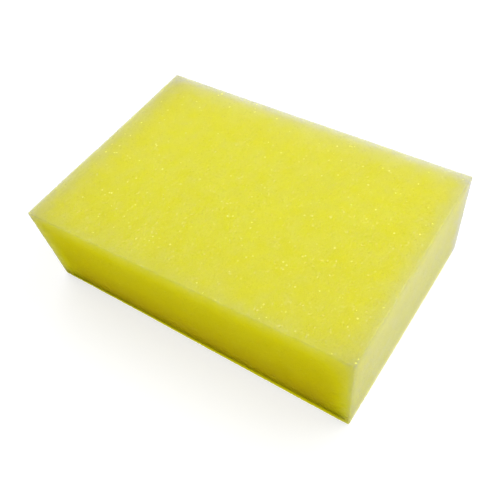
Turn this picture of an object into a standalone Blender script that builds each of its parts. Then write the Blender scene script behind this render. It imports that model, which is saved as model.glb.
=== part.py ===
"""A hand-held block of open-cell foam, of the kind used to wash, wet and wipe walls.

The block is one continuous piece of foam with six sawn faces and barely rounded edges. Its top
and base are parallel planes. Its four upright faces were cut by hand, so each corner of the top
and of the base lies a little off a true rectangle, and those faces are slightly twisted.

Frame: metres, +X along the length, +Y along the width, +Z up. The origin is at the centre of the
base, on the surface that the block lies on.
"""

import bmesh
import bpy
from mathutils import Vector

MM = 0.001

LENGTH = 180 * MM
WIDTH = 120 * MM
HEIGHT = 54 * MM
EDGE_RADIUS = 0.6 * MM
EDGE_SEGMENTS = 3
EDGE_ANGLE = 0.8

# How far each corner is off the true rectangle, along X and Y, walking round from the corner at
# -X and -Y by way of the one at +X and -Y.
TOP_OFF_SQUARE = [
    (-0.4 * MM, -3.3 * MM),
    (0.5 * MM, 1.4 * MM),
    (0.8 * MM, 0.3 * MM),
    (0.4 * MM, 1.0 * MM),
]
BASE_OFF_SQUARE = [
    (0.2 * MM, 0.9 * MM),
    (-1.1 * MM, 0.3 * MM),
    (-0.1 * MM, -0.5 * MM),
    (0.0, 0.0),
]

# A twisted face is ruled between its top and base edges, in this many steps along and up.
SIDE_STEPS = 6
LEVELS = 4

FOAM_YELLOW = (0.76, 0.70, 0.06, 1.0)
FOAM_ROUGHNESS = 0.9


def clear_scene():
    for thing in list(bpy.data.objects):
        bpy.data.objects.remove(thing, do_unlink=True)


def corners(off_square, height):
    """The four corners of the top or the base, anticlockwise seen from above."""
    quarter_turns = [(-1, -1), (1, -1), (1, 1), (-1, 1)]
    return [
        Vector((along * LENGTH / 2 + dx, across * WIDTH / 2 + dy, height))
        for (along, across), (dx, dy) in zip(quarter_turns, off_square)
    ]


def outline(base, top, share):
    """The block's outline at this share of its height, each side in SIDE_STEPS steps."""
    level = [low.lerp(high, share) for low, high in zip(base, top)]
    points = []
    for start, end in zip(level, level[1:] + level[:1]):
        points += [start.lerp(end, step / SIDE_STEPS) for step in range(SIDE_STEPS)]
    return points


def centre_over_origin(mesh):
    """Moves the mesh sideways until its box is centred on the origin."""
    for axis in (0, 1):
        places = [vert.co[axis] for vert in mesh.verts]
        middle = (min(places) + max(places)) / 2
        for vert in mesh.verts:
            vert.co[axis] -= middle


def block_mesh():
    """The sharp-edged block: flat top and base, and ruled faces between them."""
    base = corners(BASE_OFF_SQUARE, 0.0)
    top = corners(TOP_OFF_SQUARE, HEIGHT)
    mesh = bmesh.new()
    rings = [
        [mesh.verts.new(point) for point in outline(base, top, level / LEVELS)]
        for level in range(LEVELS + 1)
    ]
    for lower, upper in zip(rings, rings[1:]):
        for i in range(len(lower)):
            after = (i + 1) % len(lower)
            mesh.faces.new((lower[i], lower[after], upper[after], upper[i]))
    mesh.faces.new(list(reversed(rings[0])))
    mesh.faces.new(rings[-1])
    centre_over_origin(mesh)
    data = bpy.data.meshes.new("foam_block")
    mesh.to_mesh(data)
    mesh.free()
    return data


def foam_material():
    material = bpy.data.materials.new("yellow_foam")
    material.use_nodes = True
    shader = material.node_tree.nodes["Principled BSDF"]
    shader.inputs["Base Color"].default_value = FOAM_YELLOW
    shader.inputs["Roughness"].default_value = FOAM_ROUGHNESS
    shader.inputs["Metallic"].default_value = 0.0
    material.diffuse_color = FOAM_YELLOW
    return material


def foam_block():
    """The one piece: its twelve edges are rounded, and its slightly twisted faces are not."""
    block = bpy.data.objects.new("foam_block", block_mesh())
    bpy.context.scene.collection.objects.link(block)
    block.data.materials.append(foam_material())
    rounding = block.modifiers.new("rounded_edges", "BEVEL")
    rounding.width = EDGE_RADIUS
    rounding.segments = EDGE_SEGMENTS
    rounding.limit_method = "ANGLE"
    rounding.angle_limit = EDGE_ANGLE
    rounding.use_clamp_overlap = False
    block.data.shade_smooth()
    block.data.set_sharp_from_angle(angle=EDGE_ANGLE)
    return block


clear_scene()
foam_block()
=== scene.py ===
"""The looks of a hand-held block of yellow open-cell foam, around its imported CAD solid.

The block is one piece of sawn foam. Its skin is a fine closed mesh on the CAD block's own shape,
with the foam's cells cut open in it, and its material lets light pass through the foam.
"""

import math

import bpy
import numpy as np
from mathutils import Euler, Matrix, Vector


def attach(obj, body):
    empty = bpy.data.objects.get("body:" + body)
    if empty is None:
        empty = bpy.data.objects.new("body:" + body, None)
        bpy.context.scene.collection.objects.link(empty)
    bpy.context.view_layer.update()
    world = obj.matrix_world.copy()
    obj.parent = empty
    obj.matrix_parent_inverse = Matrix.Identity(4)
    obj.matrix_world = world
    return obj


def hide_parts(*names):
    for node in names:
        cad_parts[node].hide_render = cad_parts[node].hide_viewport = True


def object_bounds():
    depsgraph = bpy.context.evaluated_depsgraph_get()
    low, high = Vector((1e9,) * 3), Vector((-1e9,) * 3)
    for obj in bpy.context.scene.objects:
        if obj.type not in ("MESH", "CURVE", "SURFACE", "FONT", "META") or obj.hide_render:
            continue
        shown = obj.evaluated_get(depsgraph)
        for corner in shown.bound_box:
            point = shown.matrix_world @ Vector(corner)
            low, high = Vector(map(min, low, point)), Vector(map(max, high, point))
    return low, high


MM = 0.001

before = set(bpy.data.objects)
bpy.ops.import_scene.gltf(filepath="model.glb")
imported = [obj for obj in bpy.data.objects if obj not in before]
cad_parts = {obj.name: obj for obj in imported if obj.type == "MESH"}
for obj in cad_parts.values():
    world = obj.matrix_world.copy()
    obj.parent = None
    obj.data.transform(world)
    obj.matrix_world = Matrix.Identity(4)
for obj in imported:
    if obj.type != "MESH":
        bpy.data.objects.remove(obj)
cad_low, cad_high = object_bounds()

NODE = "foam_block"
BODY = "root"

# The skin: a square net this fine, with the edges rounded as on the CAD block
EDGE_RADIUS = 0.6 * MM
PITCH = 0.45 * MM
# CAD points this near the level of the highest or lowest one lie on the top or the base.
LEVEL_TOLERANCE = 0.01 * MM
# The gap between the six walls on the flat sheet that the materials are baked on
SHEET_GAP = 2 * MM

# Cells cut open by the saw. Each one is hollow by at least SHALLOWEST of the full depth, and the
# CAD surface is at MEAN_HOLLOW of it. The sharper its struts are, the wider a cell's floor is.
CELL = 1.5 * MM
CELL_DEPTH = 0.24 * MM
STRUT_SHARPNESS = 2.0
SHALLOWEST = 0.25
MEAN_HOLLOW = 0.4
# The slow waves that the saw leaves, as spacing and height
WAVES = {9 * MM: 0.05 * MM, 31 * MM: 0.1 * MM}
# The block's weight presses its base flat, this far above the floor's own plane.
FLOOR_GAP = 0.02 * MM
RANDOM_SEED = 7

# The camera
LENS_MM = 48.62
SENSOR_MM = 36.0
VIEW_TARGET = Vector((6.74, -11.22, 27.0)) * MM
VIEW_DISTANCE = 343.7 * MM
VIEW_AZIMUTH = math.radians(40.13)
VIEW_ELEVATION = math.radians(50.75)
VIEW_ROLL = math.radians(-8.89)
CLIP_START = 10 * MM

# Three softboxes round the block, each as (azimuth, elevation) in degrees and power in watts
SOFTBOXES = {"right_front": (45, 50, 4.1), "right_back": (135, 50, 4.45), "left": (245, 50, 4.55)}
SOFTBOX_DISTANCE = 0.9
SOFTBOX_SIZE = 0.75
FLOOR_SIZE = 4.0
FLOOR_WHITE = 0.5
FLOOR_ROUGHNESS = 0.9
# The floor's own glow near the block. Between these distances from it, the glow rises to white.
FLOOR_GLOW = 0.62
FLOOR_FADE = (0.25, 0.9)
# Under the block, in from its box by this much, the floor doesn't glow.
UNDER_INSET = 5 * MM

# The foam's colour by its paleness, which paints light and shade into it: from 0, painted deep
# shade, to 1.5, painted thin and full of light. Half is the foam's own yellow.
FOAM_TONES = {
    0.00: (0.420, 0.270, 0.004),
    0.06: (0.510, 0.395, 0.004),
    0.12: (0.605, 0.520, 0.005),
    0.25: (0.685, 0.635, 0.008),
    0.50: (0.714, 0.685, 0.060),
    0.80: (0.650, 0.632, 0.205),
    1.00: (0.615, 0.607, 0.365),
    1.20: (0.585, 0.583, 0.520),
    1.50: (0.580, 0.578, 0.545),
}
# The walls, in the order -X, +X, -Y, +Y, base, top
WALLS = 6
DEEP_WALL = 2
BASE = 4
TOP = 5
# Painted light and shade: how pale each wall is painted for the light it gets, how pale its
# light is painted on the rims of its neighbours, and how far that light reaches into them
WALL_PAINTED_PALENESS = np.array((0.75, 0.80, 0.25, 0.80, 0.45, 0.50))
RIM_PAINTED_PALENESS = np.array((1.35, 0.95, 0.68, 1.72, 0.0, 0.60))
RIM_REACH = np.array((4.6, 4.0, 4.5, 4.4, 3.9, 4.5)) * MM
# How strongly each wall takes its neighbours' painted light. It makes a wall paler more than
# deeper.
RIM_STRENGTH = np.array((0.25, 1.0, 1.0, 0.25, 0.4, 1.0))
PALER_SHARE = 0.8
DEEPER_SHARE = 0.35
# Over this far, one wall's colour passes into the next one's.
EDGE_SOFTNESS = 1.2 * MM
# The shaded long side, DEEP_WALL, is painted deeper by this much towards the base: painted shade.
DEEPENING = 0.25
# Painted shade near the rims: how much light each wall is painted as losing through the rims of
# its neighbours, how far in, and how strongly each wall feels it
RIM_LOSS = np.array((0.32, 0.17, 0.13, 0.14, 0.0, 0.04))
LOSS_REACH = np.array((9, 9, 12, 12, 5.5, 3)) * MM
LOSS_STRENGTH = np.array((1.0, 1.0, 1.6, 1.0, 1.0, 1.0))
# The rounded edge itself catches more light. Painted shade takes back this much, over
# EDGE_SOFTNESS.
EDGE_LOSS = np.array((0.10, 0.10, 0.02, 0.12, 0.0, 0.04))

# Painted light and shade at the foot of each wall: its paleness, the light it is painted as losing
# to the floor, and the narrow painted shade at the very foot with its reach. A foot painted lighter
# has a loss or a shade below zero.
FOOT_PAINTED_PALENESS = np.array((0.85, 1.00, 0.20, 0.85, 0.45, 0.50))
FOOT_LOSS = np.array((-0.1, 0.10, 0.25, -0.1, 0.0, 0.0))
FOOT_SHADE = np.array((0.0, -0.50, 0.51, 0.0, 0.0, 0.0))
FOOT_SHADE_REACH = np.array((4, 3.2, 5.5, 4, 4, 4)) * MM

# How light travels in the foam
LIGHT_REACH = 40 * MM
LIGHT_REACH_SHARE = (1.0, 0.9, 0.15)
TRANSLUCENCY = 0.85

# The material's detail
MOTTLE_SIZES = (24 * MM, 8 * MM)
MOTTLE_CONTRAST = 0.02
# Nearly all of the noise's values lie between these two.
NOISE_RANGE = (0.3, 0.7)
FINE_CELL = 0.9 * MM
# How much darker the painted shade makes the cells' hollows than their lighter struts
FINE_CONTRAST = 0.045
FINE_BUMP = 0.12 * MM
# Where a fine cell's strut has its middle and its edge, as shares of the cell, and how rough the
# foam is on the strut and in the cell
STRUT_MIDDLE = 0.02
STRUT_EDGE = 0.3
FOAM_ROUGHNESS = (0.75, 0.95)
# The hue varies over the smaller mottles, shifted by this so that it doesn't follow them.
HUE_SHIFT = (0.3, 0.2, 0.1)
HUE_CONTRAST = 0.6
# Pale foam, which is this blue, changes its hue by a smaller share.
PALE_BLUE = 0.2
PALE_HUE_SHARE = 0.35
# Shiny films that cells keep, mostly on the faces sawn across the foam's rise
FILM_CELL = 1.15 * MM
FILM_GLOSS = np.array((0.1, 0.1, 0.07, 0.1, 1.0, 1.0))
FILM_SIZE = 0.42
FILM_RARITY = 3.0
FILM_RAGGEDNESS = 0.3
FILM_TILT = 0.6
FILM_LIGHT = 0.12
FILM_ROUGHNESS = 0.15
FILM_IOR = 1.7
# A few films get painted glints: a light colour in their base colour, the same from every side.
PAINTED_GLINT_SHARE = 0.02
PAINTED_GLINT_SIZE = 0.6
PAINTED_GLINT_TONE = (0.92, 0.91, 0.20)


def direction(azimuth, elevation):
    """A unit vector towards a place at this azimuth and elevation. Azimuth 0 is -Y, 90 is +X."""
    return Vector(
        (
            math.sin(azimuth) * math.cos(elevation),
            -math.cos(azimuth) * math.cos(elevation),
            math.sin(elevation),
        )
    )


# ------------------------------------------------------------------ camera, lights and floor


def add_camera():
    data = bpy.data.cameras.new("camera")
    data.lens = LENS_MM
    data.sensor_width = SENSOR_MM
    data.clip_start = CLIP_START
    camera = bpy.data.objects.new("camera", data)
    bpy.context.scene.collection.objects.link(camera)
    towards_camera = direction(VIEW_AZIMUTH, VIEW_ELEVATION)
    camera.location = VIEW_TARGET + towards_camera * VIEW_DISTANCE
    turn = towards_camera.to_track_quat("Z", "Y")
    roll = Euler((0, 0, VIEW_ROLL)).to_quaternion()
    camera.rotation_euler = (turn @ roll).to_euler()
    bpy.context.scene.camera = camera


def add_softbox(name, azimuth, elevation, power):
    """A square lamp that faces the block."""
    data = bpy.data.lights.new(name, "AREA")
    data.shape = "SQUARE"
    data.size = SOFTBOX_SIZE
    data.energy = power
    lamp = bpy.data.objects.new(name, data)
    bpy.context.scene.collection.objects.link(lamp)
    towards_lamp = direction(math.radians(azimuth), math.radians(elevation))
    lamp.location = towards_lamp * SOFTBOX_DISTANCE
    lamp.rotation_euler = towards_lamp.to_track_quat("Z", "Y").to_euler()


def add_studio():
    """A white world that doesn't light the block, the softboxes and the floor."""
    world = bpy.data.worlds.new("studio")
    world.use_nodes = True
    background = world.node_tree.nodes["Background"]
    background.inputs["Color"].default_value = (1.0, 1.0, 1.0, 1.0)
    background.inputs["Strength"].default_value = 1.0
    world.cycles_visibility.diffuse = False
    world.cycles_visibility.glossy = False
    bpy.context.scene.world = world
    bpy.context.scene.view_settings.view_transform = "Standard"
    for name, (azimuth, elevation, power) in SOFTBOXES.items():
        add_softbox(name, azimuth, elevation, power)
    add_floor()


def add_floor():
    """A plain pale floor that glows, though not under the block."""
    bpy.ops.mesh.primitive_plane_add(size=FLOOR_SIZE, location=(0, 0, 0))
    floor = bpy.context.object
    floor.name = "floor"
    material = bpy.data.materials.new("pale_floor")
    material.use_nodes = True
    shader = material.node_tree.nodes["Principled BSDF"]
    shader.inputs["Base Color"].default_value = (FLOOR_WHITE, FLOOR_WHITE, FLOOR_WHITE, 1.0)
    shader.inputs["Roughness"].default_value = FLOOR_ROUGHNESS
    shader.inputs["Specular IOR Level"].default_value = 0.0
    shader.inputs["Emission Color"].default_value = (1.0, 1.0, 1.0, 1.0)
    nodes = Nodes(material)
    place = nodes.add("ShaderNodeTexCoord").outputs["Object"]
    far = nodes.add("ShaderNodeVectorMath", {"operation": "LENGTH"}, {0: place}).outputs["Value"]
    glow = nodes.remap(far, *FLOOR_FADE, FLOOR_GLOW, 1.0)
    sides = nodes.add("ShaderNodeSeparateXYZ", None, {0: nodes.vector("ABSOLUTE", place)}).outputs
    beyond = [
        nodes.math("GREATER_THAN", sides[axis], cad_high[axis] - UNDER_INSET) for axis in (0, 1)
    ]
    glow = nodes.math("MULTIPLY", glow, nodes.math("MAXIMUM", *beyond))
    nodes.feed(shader.inputs["Emission Strength"], glow)
    floor.data.materials.append(material)


# ------------------------------------------------------------------ the block's shape


def cad_corners():
    """The CAD block's eight corners as if its edges were sharp, as [x side, y side, z side]."""
    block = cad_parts[NODE]
    points = np.array([vert.co for vert in block.data.vertices])
    found = np.zeros((2, 2, 2, 3))
    for up, level in enumerate((points[:, 2].min(), points[:, 2].max())):
        flat = points[np.abs(points[:, 2] - level) < LEVEL_TOLERANCE]
        for i, along in enumerate((-1, 1)):
            for j, across in enumerate((-1, 1)):
                outermost = flat[np.argmax(flat[:, 0] * along + flat[:, 1] * across)]
                rounding = np.array((along, across, 0)) * EDGE_RADIUS
                found[i, j, up] = outermost + rounding
    return found


def blend_corners(corners, share):
    """Points inside the block, from their shares of its length, width and height."""
    u, v, w = (share[:, axis, None] for axis in range(3))
    low = (corners[0, 0, 0] * (1 - u) + corners[1, 0, 0] * u) * (1 - v)
    low += (corners[0, 1, 0] * (1 - u) + corners[1, 1, 0] * u) * v
    high = (corners[0, 0, 1] * (1 - u) + corners[1, 0, 1] * u) * (1 - v)
    high += (corners[0, 1, 1] * (1 - u) + corners[1, 1, 1] * u) * v
    return low * (1 - w) + high * w


def box_lattice(cells, size):
    """A box's surface as a square net: lattice points, quads that face out, and the quads' places
    on a flat sheet that holds all six walls side by side, from 0 to 1."""
    length, width, height = size
    sheet = length + width + 3 * SHEET_GAP
    right = length + 2 * SHEET_GAP
    places = {
        (2, False): (SHEET_GAP, SHEET_GAP),
        (2, True): (SHEET_GAP, width + 2 * SHEET_GAP),
        (1, False): (right, SHEET_GAP),
        (1, True): (right + height + SHEET_GAP, SHEET_GAP),
        (0, False): (right, length + 2 * SHEET_GAP),
        (0, True): (right, length + height + 3 * SHEET_GAP),
    }
    quads = []
    sheet_quads = []
    for (axis, high), place in places.items():
        across, along = (axis + 1) % 3, (axis + 2) % 3
        a, b = np.meshgrid(np.arange(cells[across]), np.arange(cells[along]), indexing="ij")
        ring = [(0, 0), (1, 0), (1, 1), (0, 1)] if high else [(0, 0), (0, 1), (1, 1), (1, 0)]
        face = np.empty((a.size, 4, 3), int)
        for k, (da, db) in enumerate(ring):
            face[:, k, across] = a.ravel() + da
            face[:, k, along] = b.ravel() + db
            face[:, k, axis] = cells[axis] if high else 0
        pair = [across, along]
        flat = face[..., pair] * size[pair] / cells[pair]
        if not high:
            flat[..., 0] = size[across] - flat[..., 0]
        quads.append(face)
        sheet_quads.append((flat + place) / sheet)
    quads = np.concatenate(quads)
    steps = cells + 1
    keys = (quads[..., 0] * steps[1] + quads[..., 1]) * steps[2] + quads[..., 2]
    _, first, index = np.unique(keys, return_index=True, return_inverse=True)
    points = quads.reshape(-1, 3)[first]
    return points, index.reshape(keys.shape), np.concatenate(sheet_quads)


def foam_cells(points, spacing, seed):
    """How open the foam is at each point, from 0 on a strut to 1 in the middle of a cell, and
    that cell's own random number. The cells are the regions round jittered points."""
    random = np.random.default_rng(seed)
    low = points.min(0) - 2 * spacing
    place = (points - low) / spacing
    home = np.floor(place).astype(int)
    count = home.max(0) + 3
    jitter = random.random((*count, 3))
    chance = random.random(count)
    nearest = np.full(len(points), np.inf)
    second = np.full(len(points), np.inf)
    number = np.zeros(len(points))
    for dx in (-1, 0, 1):
        for dy in (-1, 0, 1):
            for dz in (-1, 0, 1):
                i, j, k = (home + (dx, dy, dz)).T
                centre = np.stack([i, j, k], 1) + jitter[i, j, k]
                distance = np.linalg.norm(place - centre, axis=1)
                closer = distance < nearest
                second = np.where(closer, nearest, np.minimum(second, distance))
                number = np.where(closer, chance[i, j, k], number)
                nearest = np.where(closer, distance, nearest)
    return np.clip((second - nearest) * STRUT_SHARPNESS, 0, 1), number


def smooth_noise(points, spacing, seed):
    """Gentle random hills from -1 to 1, this far apart: smoothly blended values on a 3D grid."""
    random = np.random.default_rng(seed)
    place = (points - points.min(0)) / spacing
    home = np.floor(place).astype(int)
    rest = place - home
    rest = rest * rest * (3 - 2 * rest)
    values = random.uniform(-1, 1, home.max(0) + 2)
    total = np.zeros(len(points))
    for dx in (0, 1):
        for dy in (0, 1):
            for dz in (0, 1):
                i, j, k = (home + (dx, dy, dz)).T
                share = np.abs(1 - np.array((dx, dy, dz)) - rest).prod(axis=1)
                total += values[i, j, k] * share
    return total


def wall_distances(flat, size):
    """How far each point is from the walls -X, +X, -Y, +Y, base and top."""
    return np.stack([flat, size - flat], axis=2).reshape(len(flat), WALLS)


def foam_tone(walls):
    """The foam's colour at each point of the skin, before its fine detail, with light and shade
    painted in: paler where light falls and deeper and darker in shade.
    """
    height_share = walls[:, BASE] / (walls[:, BASE] + walls[:, TOP])
    nearness = np.exp(-walls / EDGE_SOFTNESS)
    nearness /= nearness.sum(axis=1, keepdims=True)
    rims = np.exp(-walls / RIM_REACH)
    depths = np.exp(-walls / LOSS_REACH)
    edge_loss = EDGE_LOSS * np.exp(-walls / EDGE_SOFTNESS)
    at_foot = np.arange(WALLS) == BASE
    # Painted light and shade: each wall near a point adds its painted paleness, and its painted
    # shade darkens the light
    paleness = np.zeros(len(walls))
    light = np.ones(len(walls))
    for wall, weight in enumerate(nearness.T):
        others = np.arange(WALLS) != wall
        rim_painted_paleness = np.where(at_foot, FOOT_PAINTED_PALENESS[wall], RIM_PAINTED_PALENESS)
        rim_loss = np.where(at_foot, FOOT_LOSS[wall], RIM_LOSS)
        own = WALL_PAINTED_PALENESS[wall] - DEEPENING * (1 - height_share) * (wall == DEEP_WALL)
        step = rim_painted_paleness - own[:, None]
        share = np.where(step > 0, PALER_SHARE, DEEPER_SHARE) * RIM_STRENGTH[wall]
        paleness += weight * (own + (others * step * share * rims).sum(axis=1))
        loss = rim_loss * depths * LOSS_STRENGTH[wall] + edge_loss * RIM_STRENGTH[wall]
        light -= weight * (others * loss).sum(axis=1)
        shade = np.exp(-((walls[:, BASE] / FOOT_SHADE_REACH[wall]) ** 2))
        light -= weight * FOOT_SHADE[wall] * shade
    stops = list(FOAM_TONES)
    tones = np.array(list(FOAM_TONES.values()))
    channels = [np.interp(paleness, stops, tones[:, k]) * light for k in range(3)]
    return np.stack(channels + [np.ones(len(walls))], axis=1)


def foam_skin():
    """The block's skin: points, outward directions, quads, the quads' places on a flat sheet, and
    how far each point is from each wall."""
    corners = cad_corners()
    size = np.array(
        [
            np.linalg.norm(corners[1, :, :] - corners[0, :, :], axis=-1).mean(),
            np.linalg.norm(corners[:, 1, :] - corners[:, 0, :], axis=-1).mean(),
            np.linalg.norm(corners[:, :, 1] - corners[:, :, 0], axis=-1).mean(),
        ]
    )
    cells = np.round(size / PITCH).astype(int)
    lattice, quads, sheet_quads = box_lattice(cells, size)
    flat = lattice / cells * size
    core = np.clip(flat, EDGE_RADIUS, size - EDGE_RADIUS)
    out = flat - core
    out /= np.linalg.norm(out, axis=1, keepdims=True)
    rounded = core + out * EDGE_RADIUS
    skin = blend_corners(corners, rounded / size)
    return skin, out, quads, sheet_quads, wall_distances(flat, size)


def add_layer(mesh, name, kind, field, values):
    """Stores a value for each point, which the material reads by this name."""
    layer = mesh.attributes.new(name, kind, "POINT")
    layer.data.foreach_set(field, values.astype(np.float32).ravel())


def make_block():
    """The block's skin with its cells cut open, and what its material reads at each point."""
    skin, out, quads, sheet_quads, walls = foam_skin()
    open_share, number = foam_cells(skin, CELL, RANDOM_SEED)
    hollow = open_share * (SHALLOWEST + (1 - SHALLOWEST) * number)
    relief = (MEAN_HOLLOW - hollow) * CELL_DEPTH
    for seed, (spacing, height) in enumerate(WAVES.items(), RANDOM_SEED + 1):
        relief += smooth_noise(skin, spacing, seed) * height
    place = skin + out * relief[:, None]
    place[:, 2] = np.maximum(place[:, 2], FLOOR_GAP)
    mesh = bpy.data.meshes.new("foam_body")
    mesh.vertices.add(len(skin))
    mesh.vertices.foreach_set("co", place.astype(np.float32).ravel())
    mesh.loops.add(quads.size)
    mesh.loops.foreach_set("vertex_index", quads.astype(np.int32).ravel())
    mesh.polygons.add(len(quads))
    mesh.polygons.foreach_set("loop_start", np.arange(0, quads.size, 4, dtype=np.int32))
    mesh.update(calc_edges=True)
    mesh.shade_smooth()
    sheet = mesh.uv_layers.new(name="OFBake")
    sheet.uv.foreach_set("vector", sheet_quads.astype(np.float32).ravel())
    add_layer(mesh, "hollow", "FLOAT", "value", hollow)
    add_layer(mesh, "film_gloss", "FLOAT", "value", FILM_GLOSS[walls.argmin(axis=1)])
    add_layer(mesh, "outward", "FLOAT_VECTOR", "vector", out)
    # The tone is the foam's own yellow with painted light and shade.
    add_layer(mesh, "tone", "FLOAT_COLOR", "color", foam_tone(walls))
    block = bpy.data.objects.new("foam_body", mesh)
    bpy.context.scene.collection.objects.link(block)
    return block


# ------------------------------------------------------------------ the foam's material


class Nodes:
    """Short calls that add nodes to a material and link them."""

    def __init__(self, material):
        self.tree = material.node_tree

    def add(self, kind, settings=None, inputs=None):
        """A new node with these properties and these inputs, each a value or a socket."""
        node = self.tree.nodes.new(kind)
        for name, value in (settings or {}).items():
            setattr(node, name, value)
        for name, value in (inputs or {}).items():
            self.feed(node.inputs[name], value)
        return node

    def feed(self, socket, value):
        if isinstance(value, bpy.types.NodeSocket):
            self.tree.links.new(value, socket)
        else:
            socket.default_value = value

    def math(self, operation, first, second=0.0, third=0.0):
        inputs = {0: first, 1: second, 2: third}
        return self.add("ShaderNodeMath", {"operation": operation}, inputs).outputs[0]

    def vector(self, operation, first, second=(0, 0, 0)):
        settings = {"operation": operation}
        return self.add("ShaderNodeVectorMath", settings, {0: first, 1: second}).outputs[0]

    def scaled(self, vector, scale):
        settings = {"operation": "SCALE"}
        return self.add("ShaderNodeVectorMath", settings, {0: vector, "Scale": scale}).outputs[0]

    def noise(self, place, size, detail=2.0):
        inputs = {"Vector": place, "Scale": 1 / size, "Detail": detail}
        return self.add("ShaderNodeTexNoise", None, inputs).outputs["Fac"]

    def voronoi(self, place, size, feature="F1"):
        inputs = {"Vector": place, "Scale": 1 / size}
        return self.add("ShaderNodeTexVoronoi", {"feature": feature}, inputs)

    def remap(self, value, low, high, to_low=0.0, to_high=1.0):
        inputs = {"Value": value, 1: low, 2: high, 3: to_low, 4: to_high}
        return self.add("ShaderNodeMapRange", None, inputs).outputs["Result"]


def foam_material():
    material = bpy.data.materials.new("yellow_foam")
    material.use_nodes = True
    nodes = Nodes(material)
    shader = nodes.tree.nodes["Principled BSDF"]
    shader.inputs["Specular IOR Level"].default_value = 0.0
    shader.inputs["Subsurface Weight"].default_value = TRANSLUCENCY
    shader.inputs["Subsurface Radius"].default_value = LIGHT_REACH_SHARE
    shader.inputs["Subsurface Scale"].default_value = LIGHT_REACH
    shader.inputs["Coat Roughness"].default_value = FILM_ROUGHNESS
    shader.inputs["Coat IOR"].default_value = FILM_IOR

    place = nodes.add("ShaderNodeTexCoord").outputs["Object"]
    tone = nodes.add("ShaderNodeAttribute", {"attribute_name": "tone"}).outputs["Color"]
    hollow = nodes.add("ShaderNodeAttribute", {"attribute_name": "hollow"}).outputs["Fac"]

    # Uneven colour: two sizes of faint blotches, and painted shade in the hollows of the saw-cut
    # cells and of the finer ones in them, which leaves their struts lighter
    light = nodes.remap(hollow, 0.0, 1.0, 1.0 + FINE_CONTRAST / 4, 1.0 - FINE_CONTRAST / 2)
    for size in MOTTLE_SIZES:
        blotch = nodes.noise(place, size)
        contrast = (1 - MOTTLE_CONTRAST / 2, 1 + MOTTLE_CONTRAST / 2)
        blotch = nodes.remap(blotch, *NOISE_RANGE, *contrast)
        light = nodes.math("MULTIPLY", light, blotch)
    struts = nodes.voronoi(place, FINE_CELL, "DISTANCE_TO_EDGE").outputs["Distance"]
    contrast = (1 + FINE_CONTRAST / 2, 1 - FINE_CONTRAST / 2)
    cell = nodes.remap(struts, STRUT_MIDDLE, STRUT_EDGE, *contrast)
    light = nodes.math("MULTIPLY", light, cell)

    # Cells keep shiny films, each tilted its own way, which glint where they face a lamp.
    films = nodes.voronoi(place, FILM_CELL)
    chance = nodes.add("ShaderNodeSeparateColor", None, {"Color": films.outputs["Color"]})
    ragged = nodes.remap(nodes.noise(place, FILM_CELL / 3), 0.0, 1.0, 0.0, FILM_RAGGEDNESS)
    reach = nodes.math("ADD", films.outputs["Distance"], ragged)
    film = nodes.math("LESS_THAN", reach, FILM_SIZE + FILM_RAGGEDNESS / 2)
    film = nodes.math("MULTIPLY", film, nodes.math("POWER", chance.outputs["Green"], FILM_RARITY))
    gloss = nodes.add("ShaderNodeAttribute", {"attribute_name": "film_gloss"}).outputs["Fac"]
    film = nodes.math("MULTIPLY", film, gloss)
    nodes.feed(shader.inputs["Coat Weight"], film)
    facing = nodes.add("ShaderNodeAttribute", {"attribute_name": "outward"}).outputs["Vector"]
    settings = {"vector_type": "NORMAL", "convert_from": "OBJECT", "convert_to": "WORLD"}
    facing = nodes.add("ShaderNodeVectorTransform", settings, {"Vector": facing}).outputs["Vector"]
    settings = {"noise_dimensions": "3D"}
    lean = nodes.add("ShaderNodeTexWhiteNoise", settings, {"Vector": films.outputs["Position"]})
    tilt = nodes.vector("SUBTRACT", lean.outputs["Color"], (0.5, 0.5, 0.5))
    tilt = nodes.scaled(tilt, 2 * FILM_TILT)
    tilted = nodes.vector("NORMALIZE", nodes.vector("ADD", facing, tilt))
    nodes.feed(shader.inputs["Coat Normal"], tilted)
    light = nodes.math("MULTIPLY_ADD", film, FILM_LIGHT, light)
    # Painted glints: a few films get a light colour in their base colour, from every side alike.
    painted_glint = nodes.remap(chance.outputs["Red"], 1 - PAINTED_GLINT_SHARE, 1.0)
    painted_glint = nodes.math("MULTIPLY", painted_glint, nodes.math("LESS_THAN", reach, PAINTED_GLINT_SIZE))
    painted_glint = nodes.math("MULTIPLY", painted_glint, gloss)

    # The final colour: the tone with its hue a little uneven, its blotches and painted shade, and
    # the painted glints on it
    hue = nodes.noise(nodes.vector("ADD", place, HUE_SHIFT), MOTTLE_SIZES[1])
    hue = nodes.remap(hue, *NOISE_RANGE, -HUE_CONTRAST / 2, HUE_CONTRAST / 2)
    blue = nodes.add("ShaderNodeSeparateColor", None, {"Color": tone}).outputs["Blue"]
    hue_share = nodes.remap(blue, 0.0, PALE_BLUE, 1.0, PALE_HUE_SHARE)
    hue = nodes.math("MULTIPLY_ADD", hue, hue_share, 1.0)
    tint = nodes.add("ShaderNodeCombineXYZ", None, {"X": 1.0, "Y": 1.0, "Z": hue}).outputs["Vector"]
    tone = nodes.vector("MULTIPLY", tone, tint)
    tone = nodes.scaled(tone, light)
    painted_glint_shift = nodes.scaled(nodes.vector("SUBTRACT", PAINTED_GLINT_TONE, tone), painted_glint)
    nodes.feed(shader.inputs["Base Color"], nodes.vector("ADD", tone, painted_glint_shift))
    roughness = nodes.remap(struts, 0.0, STRUT_EDGE, *FOAM_ROUGHNESS)
    nodes.feed(shader.inputs["Roughness"], roughness)
    bump = nodes.add("ShaderNodeBump", None, {"Height": struts, "Distance": -FINE_BUMP})
    nodes.feed(shader.inputs["Normal"], bump.outputs["Normal"])
    return material


add_camera()
add_studio()
block = make_block()
block.data.materials.append(foam_material())
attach(block, BODY)
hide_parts(NODE)
